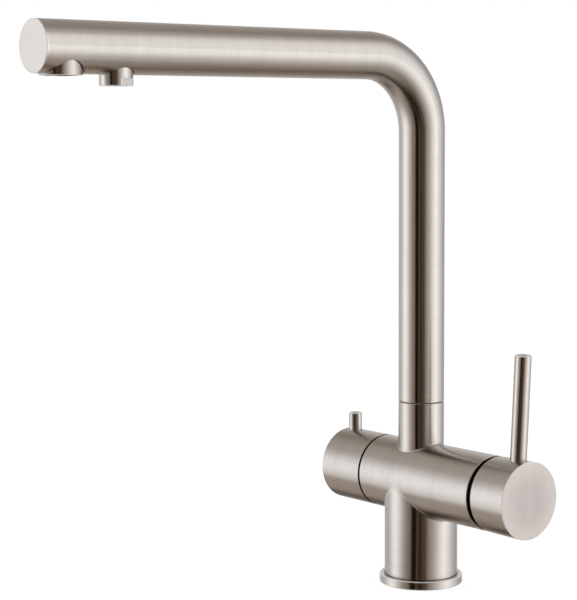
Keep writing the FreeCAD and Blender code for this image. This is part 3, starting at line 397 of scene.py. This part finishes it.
def lathe_steel(name, axis, centre, straight_face=None, face_tints=None, dark_seam=None,
                joint_radius=None, **finish):
    """Stainless steel brushed on a lathe.  End faces have rings, or lines straight across.

    face_tints are an end face's tints in its middle and at its rim; a lighter rim is painted sheen.
    dark_seam is the side, 1 or -1 along the axis, of the faces that lie in a seam, which get painted
    shade.  Within joint_radius the piece gets painted shade, as the shade in a joint.  The bevels
    between side and face get a painted highlight."""
    material, tree = new_material(name)
    local, along, radial, facing = lathe_place(tree, axis, centre)
    steepness = calculate(tree, "ABSOLUTE", facing)
    distance = measure(tree, "LENGTH", radial)
    on_face = calculate(tree, "GREATER_THAN", steepness, face_limit)
    if straight_face:
        face_across = measure(tree, "DOT_PRODUCT", local, straight_face)
        face_tangent = straight_face
    else:
        face_across = distance
        face_tangent = radial
    across = add_node(tree, "ShaderNodeMix", {0: on_face, 2: along, 3: face_across}).outputs[0]
    tangent = add_node(tree, "ShaderNodeMix", {0: on_face, 4: axis, 5: face_tangent},
                       data_type="VECTOR").outputs[1]
    # The bevels between side and face get a painted highlight.
    off_side = remap(tree, steepness, start=0.15, end=0.4, smooth=True)
    off_face = remap(tree, steepness, start=0.97, end=0.8, smooth=True)
    edge = calculate(tree, "MULTIPLY", off_side, off_face)
    shade = 0.0
    # Faces that look into a seam get painted shade.
    if dark_seam:
        shade = remap(tree, facing, 0.3 * dark_seam, 0.6 * dark_seam)
        edge = calculate(tree, "MULTIPLY", edge, calculate(tree, "SUBTRACT", 1.0, shade))
    # Round the joint the piece gets painted shade.
    if joint_radius:
        shade = remap(tree, distance, joint_radius + joint_fade, joint_radius, smooth=True)
    # A rim tint lighter than the middle is painted sheen.
    if face_tints:
        rimward_sheen = remap(tree, distance, face_middle_radius, face_rim_radius, smooth=True)
        face_colour = mix_colours(tree, rimward_sheen, *((*tint, 1) for tint in face_tints))
        finish["tint"] = mix_colours(tree, on_face, (1, 1, 1, 1), face_colour)
    brushed_steel(tree, across, local, in_world(tree, tangent), edge, shade, **finish)
    return material


def middle_of(node):
    """The middle of a carried-over piece's box."""
    low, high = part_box(node)
    return (low + high) / 2


def dress(node, material):
    """Gives a carried-over piece its finish."""
    for material_slot in nodes[node].material_slots:
        material_slot.material = material


up_axis = Vector((0, 0, 1))
barrel_axis = Vector((1, 0, 0))
spout_axis = Vector((0, 1, 0))
column_radius = 0.024
joint_width = 0.0003
# Where the column stands on it, the ring's top gets a thin ring of painted shade.
dress("base_flange", lathe_steel("foot_ring_steel", up_axis, Vector((0, 0, 0)),
                                 joint_radius=column_radius + joint_width))

# Foot seal
# A black rubber ring pressed into the groove under the foot ring, so that no water gets under the
# tap.  It is moulded, and matt with a faint pale bloom.
def moulded_rubber(name):
    """Black rubber with a fine grain, and a bloom that dulls it here and there."""
    material, tree = new_material(name)
    place = object_place(tree)[0]
    grain = noise(tree, place, 2600.0, 2.0)
    bloom = noise(tree, place, 140.0, 4.0)
    colour = mix_colours(tree, remap(tree, bloom, 0.35, 0.7), (0.010, 0.010, 0.011, 1),
                         (0.035, 0.034, 0.033, 1))
    bump = add_node(tree, "ShaderNodeBump", {"Height": grain, "Strength": 0.3, "Distance": 0.00002})
    rubber = add_node(tree, "ShaderNodeBsdfPrincipled", {
        "Base Color": colour, "Roughness": remap(tree, grain, 0.3, 0.7, 0.5, 0.75),
        "Normal": bump.outputs[0]})
    add_node(tree, "ShaderNodeOutputMaterial", {"Surface": rubber.outputs[0]})
    return material


dress("base_seal", moulded_rubber("foot_seal_rubber"))

# Tap body
# One stainless casting: column, cross barrel and neck, each brushed round its own axis, with the
# inside left as it is.  The lines change direction where the barrel meets the upright parts.  The
# barrel's end faces in the seams and the column's foot get painted shade, and its rims a faint
# painted highlight.
barrel_height = middle_of("filter_knob").z
barrel_centre = Vector((0, 0, barrel_height))
body_low, body_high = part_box("tap_body")
foot_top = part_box("base_flange")[1].z
spigot_height = 0.005
edge_width = 0.0005
edge_highlight_share = 0.1
junction_start = column_radius + 0.0002
junction_end = column_radius + 0.0010
joint_height = 0.0003
body_steel, tree = new_material("tap_body_steel")
place, normal = object_place(tree)
local = combine(tree, "SUBTRACT", place, barrel_centre)
offset = add_node(tree, "ShaderNodeSeparateXYZ", {0: place})
off_barrel = measure(tree, "LENGTH", combine(tree, "MULTIPLY", local, (0, 1, 1)))
upright = remap(tree, off_barrel, junction_start, junction_end)
# The barrel's end faces, inside the seams at the knob and the handle, get painted shade.
end_facing = calculate(tree, "ABSOLUTE", measure(tree, "DOT_PRODUCT", normal, barrel_axis))
end_face = calculate(tree, "GREATER_THAN", end_facing, face_limit)
in_barrel = calculate(tree, "LESS_THAN", off_barrel, column_radius)
end_face = calculate(tree, "MULTIPLY", end_face, in_barrel)
# The rims at the body's ends and at the neck's top get a faint painted highlight.
left_end = calculate(tree, "LESS_THAN", offset.outputs["X"], body_low.x + edge_width)
right_end = calculate(tree, "GREATER_THAN", offset.outputs["X"], body_high.x - edge_width)
neck_end = calculate(tree, "GREATER_THAN", offset.outputs["Z"], body_high.z - edge_width)
edge = calculate(tree, "MAXIMUM", calculate(tree, "MAXIMUM", left_end, right_end), neck_end)
edge = calculate(tree, "MULTIPLY", edge, edge_highlight_share)
# The column's lowest 0.3 mm, at the joint with the foot ring, gets painted shade.
column_foot = foot_top - spigot_height
foot_joint_shade = remap(tree, offset.outputs["Z"], start=column_foot + joint_height,
                   end=column_foot + joint_height / 2)
shade = calculate(tree, "MAXIMUM", foot_joint_shade, end_face)
across = add_node(tree, "ShaderNodeMix", {0: upright, 2: offset.outputs["X"], 3: offset.outputs["Z"]})
tangent = add_node(tree, "ShaderNodeMix", {0: upright, 4: barrel_axis, 5: up_axis},
                   data_type="VECTOR")
brushed_steel(tree, across.outputs[0], local, in_world(tree, tangent.outputs[1]), edge, shade)
dress("tap_body", body_steel)

# Swivel bush and washer
# The bush is a white acetal sleeve in the neck that the spout turns in.  The washer is a thin dark
# ring on top of the neck: its edge is the line between the neck and the spout.
def moulded_plastic(name, light, dark, roughness=0.42):
    """Moulded plastic: nearly even in colour, with a fine grain and faint flow marks."""
    material, tree = new_material(name)
    place = object_place(tree)[0]
    flow = noise(tree, place, 90.0, 4.0)
    grain = noise(tree, place, 3200.0, 2.0)
    bump = add_node(tree, "ShaderNodeBump", {"Height": grain, "Strength": 0.15, "Distance": 0.00001})
    plastic = add_node(tree, "ShaderNodeBsdfPrincipled", {
        "Base Color": mix_colours(tree, remap(tree, flow, 0.3, 0.7), (*dark, 1), (*light, 1)),
        "Roughness": remap(tree, flow, 0.3, 0.7, roughness * 1.15, roughness * 0.85),
        "Normal": bump.outputs[0]})
    add_node(tree, "ShaderNodeOutputMaterial", {"Surface": plastic.outputs[0]})
    return material


dress("swivel_bush", moulded_plastic("acetal_white", (0.82, 0.81, 0.77), (0.74, 0.73, 0.69), 0.35))
dress("swivel_washer", moulded_plastic("washer_dark", (0.09, 0.08, 0.072), (0.06, 0.054, 0.048)))

# Spout retaining screw
# A short grub screw with a hexagon socket, in the back of the neck.  Its tip runs in the groove of
# the spout's insert, holds it down and ends its swing.
def turned_metal(name, axis, centre, light, dark, roughness=0.3):
    """Plain turned metal: fine tool rings, and a thin cloudy stain."""
    material, tree = new_material(name)
    local, along, radial, facing = lathe_place(tree, axis, centre)
    on_face = calculate(tree, "GREATER_THAN", calculate(tree, "ABSOLUTE", facing), face_limit)
    distance = measure(tree, "LENGTH", radial)
    across = add_node(tree, "ShaderNodeMix", {0: on_face, 2: along, 3: distance}).outputs[0]
    rings = brush_lines(tree, across, local, lines_per_metre=4200.0, drift_per_metre=40.0,
                        detail=2.0)
    stain = noise(tree, local, 160.0, 4.0)
    bump = add_node(tree, "ShaderNodeBump", {"Height": rings, "Strength": 0.25, "Distance": 0.00001})
    metal = add_node(tree, "ShaderNodeBsdfPrincipled", {
        "Base Color": mix_colours(tree, remap(tree, stain, 0.35, 0.75), (*light, 1), (*dark, 1)),
        "Metallic": 1.0, "Roughness": remap(tree, rings, 0.3, 0.7, roughness * 0.8, roughness * 1.2),
        "Normal": bump.outputs[0]})
    add_node(tree, "ShaderNodeOutputMaterial", {"Surface": metal.outputs[0]})
    return material


screw_light = (0.56, 0.54, 0.52)
screw_dark = (0.42, 0.40, 0.38)
dress("spout_retaining_screw",
      turned_metal("neck_screw_steel", spout_axis, middle_of("spout_retaining_screw"), screw_light,
                   screw_dark))

# Spout insert
# The brass spigot that the spout turns on: a head inside the tube, two ways for water, a groove for
# the retaining screw and grooves for the O-rings.  It is turned and drilled.
brass_light = (0.78, 0.58, 0.27)
brass_dark = (0.62, 0.42, 0.19)
dress("spout_insert", turned_metal("insert_brass", up_axis, middle_of("spout_insert"), brass_light,
                                   brass_dark))

# Swivel O-rings
# Three greased black rubber rings round the insert, between the two waters and the outside.
dress("spout_o_rings", moulded_rubber("swivel_ring_rubber"))

# Filtered-water tube
# A clear polyethylene tube inside the spout, from the insert to the small outlet.
feed_plastic, tree = new_material("feed_tube_plastic")
place = object_place(tree)[0]
haze = noise(tree, place, 220.0, 3.0)
clear = add_node(tree, "ShaderNodeBsdfPrincipled", {
    "Base Color": mix_colours(tree, haze, (0.80, 0.83, 0.84, 1), (0.90, 0.92, 0.92, 1)),
    "Roughness": remap(tree, haze, 0.3, 0.7, 0.25, 0.4), "Transmission Weight": 0.6, "IOR": 1.5})
add_node(tree, "ShaderNodeOutputMaterial", {"Surface": clear.outputs[0]})
dress("filter_feed_tube", feed_plastic)

# Spout tube
# One stainless tube, bent through a right angle and brushed round, so that the lines follow the bend.
# Its foot stands on the washer, and its edge there gets a thin painted highlight.
bend_radius = 0.048
spout_axis_height = middle_of("spout_end_cap").z
tube_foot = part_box("spout_tube")[0].z
spout_steel, tree = new_material("spout_tube_steel")
place = object_place(tree)[0]
bend_centre = (0, -bend_radius, spout_axis_height - bend_radius)
local = combine(tree, "SUBTRACT", place, bend_centre)
offset = add_node(tree, "ShaderNodeSeparateXYZ", {0: local})
behind = calculate(tree, "MAXIMUM", offset.outputs["Y"], 0.0)
above = calculate(tree, "MAXIMUM", offset.outputs["Z"], 0.0)
bend_angle = calculate(tree, "ARCTAN2", above, behind)
run = calculate(tree, "MULTIPLY_ADD", bend_angle, bend_radius,
                calculate(tree, "MINIMUM", offset.outputs["Z"], 0.0))
run = calculate(tree, "SUBTRACT", run, calculate(tree, "MINIMUM", offset.outputs["Y"], 0.0))
tangent = add_node(tree, "ShaderNodeCombineXYZ", {
    "Y": calculate(tree, "MULTIPLY", calculate(tree, "SINE", bend_angle), -1.0),
    "Z": calculate(tree, "COSINE", bend_angle)}).outputs[0]
height = add_node(tree, "ShaderNodeSeparateXYZ", {0: place}).outputs["Z"]
# The edge at the foot gets a faint painted highlight.
at_foot = calculate(tree, "LESS_THAN", height, tube_foot + edge_width)
edge = calculate(tree, "MULTIPLY", at_foot, edge_highlight_share)
brushed_steel(tree, run, local, in_world(tree, tangent), edge, shade=0.0)
dress("spout_tube", spout_steel)

# Spout end cap
# A thin stainless disc pressed into the tube's end and brushed straight across, a little brighter
# than the tube.
dress("spout_end_cap", lathe_steel("end_cap_steel", spout_axis, middle_of("spout_end_cap"),
                                   straight_face=up_axis, roughness=0.2, tone=0.56))

# Large outlet
# A threaded stainless socket inside the tube's end, and the housing screwed into it, which shows as a
# short bright collar.  The housing is brushed round.
dress("main_outlet_socket",
      turned_metal("large_socket_steel", up_axis, middle_of("main_outlet_socket"), screw_light,
                   screw_dark))
dress("aerator_housing", lathe_steel("aerator_housing_steel", up_axis, middle_of("aerator_housing"),
                                     roughness=0.3))

# Aerator honeycomb
# Grey plastic sieve that mixes air into the water: a ring with six-sided cells, moulded in one piece.
# It sits in the housing under the washer.
def clamp_to_circle(shape, radius):
    """Brings every vertex that is further out onto the circle."""
    for vertex in shape.verts:
        off_centre = vertex.co.xy.length
        if off_centre > radius:
            vertex.co.xy *= radius / off_centre


def turn_profile(shape, profile, steps):
    """Turns a closed profile, with corners of (radius, height), round the upright axis."""
    corners = [shape.verts.new((radius, 0, height)) for radius, height in profile]
    sides = [shape.edges.new((corners[number - 1], corner)) for number, corner in enumerate(corners)]
    bmesh.ops.spin(shape, geom=corners + sides, cent=(0, 0, 0), axis=(0, 0, 1), angle=2 * math.pi,
                   steps=steps, use_merge=True)


outlet_grey = moulded_plastic("outlet_grey", (0.34, 0.34, 0.35), (0.26, 0.26, 0.27))
ring_overlap = 0.3
round_steps = 72


def honeycomb(name, node, ring_inner, cell_width, wall, sieve_height):
    """A round grey sieve in the place of the node, with its outside and its height."""
    low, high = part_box(node)
    middle = (low + high) / 2
    outer = (high.x - low.x) / 2
    ring_height = high.z - low.z
    filled = ring_inner + (outer - ring_inner) * ring_overlap
    row_height = cell_width * math.sqrt(3) / 2
    rows = int(filled / row_height) + 1
    shape = bmesh.new()
    for row in range(-rows, rows + 1):
        for column in range(-2 * rows, 2 * rows + 1):
            across, along = (column + row / 2) * cell_width, row * row_height
            if math.hypot(across, along) < filled - 0.1 * cell_width:
                bmesh.ops.create_circle(shape, cap_ends=True, segments=6,
                                        radius=cell_width / math.sqrt(3),
                                        matrix=Matrix.Translation((across, along, 0)))
    bmesh.ops.remove_doubles(shape, verts=shape.verts, dist=cell_width / 50)
    clamp_to_circle(shape, filled)
    cells = shape.faces[:]
    bmesh.ops.inset_individual(shape, faces=cells, thickness=wall / 2, use_even_offset=True)
    bmesh.ops.delete(shape, geom=cells, context="FACES_ONLY")
    raised = bmesh.ops.extrude_face_region(shape, geom=shape.faces[:])
    top = [item for item in raised["geom"] if isinstance(item, bmesh.types.BMVert)]
    bmesh.ops.translate(shape, verts=top, vec=(0, 0, sieve_height))
    bevel = wall / 2
    profile = [(ring_inner, 0), (outer - bevel, 0), (outer, bevel), (outer, ring_height - bevel),
               (outer - bevel, ring_height), (ring_inner, ring_height)]
    turn_profile(shape, profile, round_steps)
    bmesh.ops.recalc_face_normals(shape, faces=shape.faces)
    bmesh.ops.translate(shape, verts=shape.verts, vec=(middle.x, middle.y, low.z))
    made = new_object(name, shape, outlet_grey)
    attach(made, "spout")
    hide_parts(node)


honeycomb("aerator_honeycomb", "aerator_insert", ring_inner=0.00935, cell_width=0.0023, wall=0.0005,
          sieve_height=0.003)

# Aerator washer
# A flat rubber ring between the sieve and the socket's shoulder.
dress("aerator_washer", moulded_rubber("aerator_washer_rubber"))

# Small outlet
# The filtered water's own outlet: a stainless socket inside the tube, and a turned and brushed nozzle
# screwed into it.  Its two flats for a spanner stand where the thread got tight.
dress("filter_outlet_socket",
      turned_metal("small_socket_steel", up_axis, middle_of("filter_outlet_socket"), screw_light,
                   screw_dark))
nozzle_low, nozzle_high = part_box("filter_outlet_nozzle")
nozzle_middle = middle_of("filter_outlet_nozzle")
nozzle_radius = (nozzle_high.x - nozzle_low.x) / 2
nozzle_bottom = nozzle_low.z
mouth_radius = 0.006
throat_radius = 0.004
thread_radius = 0.008
shoulder_level = 0.3343
shoulder_height = shoulder_level - nozzle_bottom
full_height = nozzle_high.z - nozzle_bottom
roof = 0.001
nozzle_edge = 0.0003
nozzle_steps = 144
flat_height = 0.0042
flat_step = 0.00005
flat_distance = 0.0085
flat_turn = math.radians(14)
sharp_angle = math.radians(25)
shape = bmesh.new()
profile = [(mouth_radius + nozzle_edge, 0), (nozzle_radius - nozzle_edge, 0),
           (nozzle_radius, nozzle_edge), (nozzle_radius, flat_height),
           (nozzle_radius, flat_height + flat_step), (nozzle_radius, shoulder_height),
           (thread_radius, shoulder_height), (thread_radius, full_height),
           (throat_radius, full_height), (throat_radius, shoulder_height - roof),
           (mouth_radius, shoulder_height - roof), (mouth_radius, nozzle_edge)]
turn_profile(shape, profile, nozzle_steps)
for vertex in shape.verts:
    if vertex.co.z < flat_height + flat_step / 2:
        vertex.co.x = max(-flat_distance, min(flat_distance, vertex.co.x))
bmesh.ops.dissolve_degenerate(shape, dist=1e-6, edges=shape.edges)
bmesh.ops.recalc_face_normals(shape, faces=shape.faces)
bmesh.ops.rotate(shape, verts=shape.verts, cent=(0, 0, 0), matrix=Matrix.Rotation(flat_turn, 3, "Z"))
bmesh.ops.translate(shape, verts=shape.verts, vec=(nozzle_middle.x, nozzle_middle.y, nozzle_bottom))
nozzle = new_object("filter_nozzle", shape, lathe_steel("nozzle_steel", up_axis, nozzle_middle))
nozzle.data.polygons.foreach_set("use_smooth", [True] * len(nozzle.data.polygons))
nozzle.data.set_sharp_from_angle(angle=sharp_angle)
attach(nozzle, "spout")
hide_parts("filter_outlet_nozzle")

# Small outlet's honeycomb
# The same kind of grey sieve, small, just inside the nozzle's mouth.
honeycomb("filter_outlet_honeycomb", "filter_outlet_insert", ring_inner=0.0052, cell_width=0.0019,
          wall=0.00045, sieve_height=0.0024)

# Mixer cartridge, outer pieces
# The 35 mm cartridge that mixes hot and cold: a white base with rubber rings at its three water
# holes, and a housing clipped over it.  Both are moulded.
cartridge_white = moulded_plastic("cartridge_white", (0.80, 0.80, 0.78), (0.70, 0.70, 0.68))
dress("cartridge_base", cartridge_white)
dress("cartridge_housing", cartridge_white)
dress("cartridge_base_seals", moulded_rubber("cartridge_ring_rubber"))

# Ceramic discs
# Two flat discs of alumina, lapped so flat that they seal against each other.  The lapped faces are
# glossier than the fired sides.
def lapped_ceramic(name, axis, centre):
    """White ceramic with a fine speckle, glossy where it faces along the axis."""
    material, tree = new_material(name)
    local, along, radial, facing = lathe_place(tree, axis, centre)
    lapped = remap(tree, calculate(tree, "ABSOLUTE", facing), 0.8, 0.95)
    speckle = noise(tree, local, 1800.0, 3.0)
    bump = add_node(tree, "ShaderNodeBump", {"Height": speckle, "Strength": 0.1, "Distance": 0.00001})
    ceramic = add_node(tree, "ShaderNodeBsdfPrincipled", {
        "Base Color": mix_colours(tree, remap(tree, speckle, 0.3, 0.7), (0.86, 0.84, 0.78, 1),
                                  (0.92, 0.91, 0.87, 1)),
        "Roughness": add_node(tree, "ShaderNodeMix", {0: lapped, 2: 0.4, 3: 0.1}).outputs[0],
        "Normal": bump.outputs[0]})
    add_node(tree, "ShaderNodeOutputMaterial", {"Surface": ceramic.outputs[0]})
    return material


dress("fixed_ceramic_disc", lapped_ceramic("fixed_disc_ceramic", barrel_axis,
                                           middle_of("fixed_ceramic_disc")))
dress("moving_ceramic_disc", lapped_ceramic("moving_disc_ceramic", barrel_axis,
                                            middle_of("moving_ceramic_disc")))

# Cartridge moving pieces
# The carrier clips onto the moving disc, and the collar turns with the lever.  Both are moulded in
# plastic; the pin that the spindle tips about is hard steel, and the spindle is brass.
moving_white = moulded_plastic("moving_white", (0.78, 0.76, 0.70), (0.68, 0.66, 0.60))
dress("disc_carrier", moving_white)
dress("cartridge_turning_collar", moving_white)
dress("cartridge_pivot_pin", turned_metal("pivot_steel", spout_axis, middle_of("cartridge_pivot_pin"),
                                          screw_light, screw_dark))
dress("cartridge_spindle", turned_metal("mixer_spindle_brass", barrel_axis,
                                        middle_of("cartridge_spindle"), brass_light, brass_dark))

# Cartridge nut and dome
# A brass nut holds the cartridge down.  The dark plastic dome over it closes the gap behind the
# handle, whatever way the lever points.
dress("cartridge_retaining_nut", turned_metal("cartridge_nut_brass", barrel_axis,
                                              middle_of("cartridge_retaining_nut"), brass_light,
                                              brass_dark))
# The dome is dark plastic; its brown-black is also set to stand for the shade in the gap behind the
# handle.
dress("cartridge_dome",
      moulded_plastic("dome_black", (0.085, 0.052, 0.034), (0.060, 0.036, 0.023), roughness=0.5))

# Mixer handle
# A deep stainless cup, brushed round on its side and straight across on its face.  Its face is tinted
# darker, with painted sheen that lightens it towards the rim, and its rear rim gets painted shade in
# the seam.  The lever pin is screwed and glued into it, and a grub screw underneath holds the handle.
# The face is tinted darker in the middle and painted lighter at the rim, as sheen; the rim that faces
# the barrel gets painted shade.
face_middle_tint = (0.755, 0.71, 0.715)
face_rim_sheen = (0.88, 0.845, 0.835)
dress("mixer_handle_cap", lathe_steel("handle_cap_steel", barrel_axis, barrel_centre,
                                      straight_face=spout_axis,
                                      face_tints=(face_middle_tint, face_rim_sheen), dark_seam=-1))
pin_end_tint = (0.80, 0.79, 0.78)
lever_lean = math.radians(3)
lever_axis = Vector((math.sin(lever_lean), 0, math.cos(lever_lean)))
dress("mixer_lever_pin", lathe_steel("lever_steel", lever_axis, middle_of("mixer_lever_pin"),
                                     face_tints=(pin_end_tint, pin_end_tint)))
dress("mixer_handle_screw",
      turned_metal("handle_screw_steel", up_axis, middle_of("mixer_handle_screw"), screw_light,
                   screw_dark))

# Filter valve
# A quarter-turn valve in the left of the barrel: a brass body screwed in against a rubber ring, two
# ceramic discs, and a brass spindle with two O-rings.
dress("filter_valve_body",
      turned_metal("valve_body_brass", barrel_axis, middle_of("filter_valve_body"), brass_light,
                   brass_dark))
dress("filter_valve_spindle",
      turned_metal("valve_spindle_brass", barrel_axis, middle_of("filter_valve_spindle"),
                   brass_light, brass_dark))
dress("filter_valve_seal", moulded_rubber("valve_seal_rubber"))
dress("filter_spindle_o_rings", moulded_rubber("spindle_ring_rubber"))
dress("filter_fixed_disc", lapped_ceramic("small_fixed_ceramic", barrel_axis,
                                          middle_of("filter_fixed_disc")))
dress("filter_moving_disc", lapped_ceramic("small_moving_ceramic", barrel_axis,
                                           middle_of("filter_moving_disc")))

# Filter knob
# A stainless cup like the mixer's handle, with a short pin in its top to turn it by and a small grub
# screw underneath.  The rim that faces the barrel gets painted shade in the seam.
dress("filter_knob", lathe_steel("filter_knob_steel", barrel_axis, barrel_centre,
                                 straight_face=spout_axis, dark_seam=1))
dress("filter_knob_pin", lathe_steel("knob_pin_steel", up_axis, middle_of("filter_knob_pin"),
                                     face_tints=(pin_end_tint, pin_end_tint)))
dress("filter_knob_screw", turned_metal("knob_screw_steel", up_axis, middle_of("filter_knob_screw"),
                                        screw_light, screw_dark))
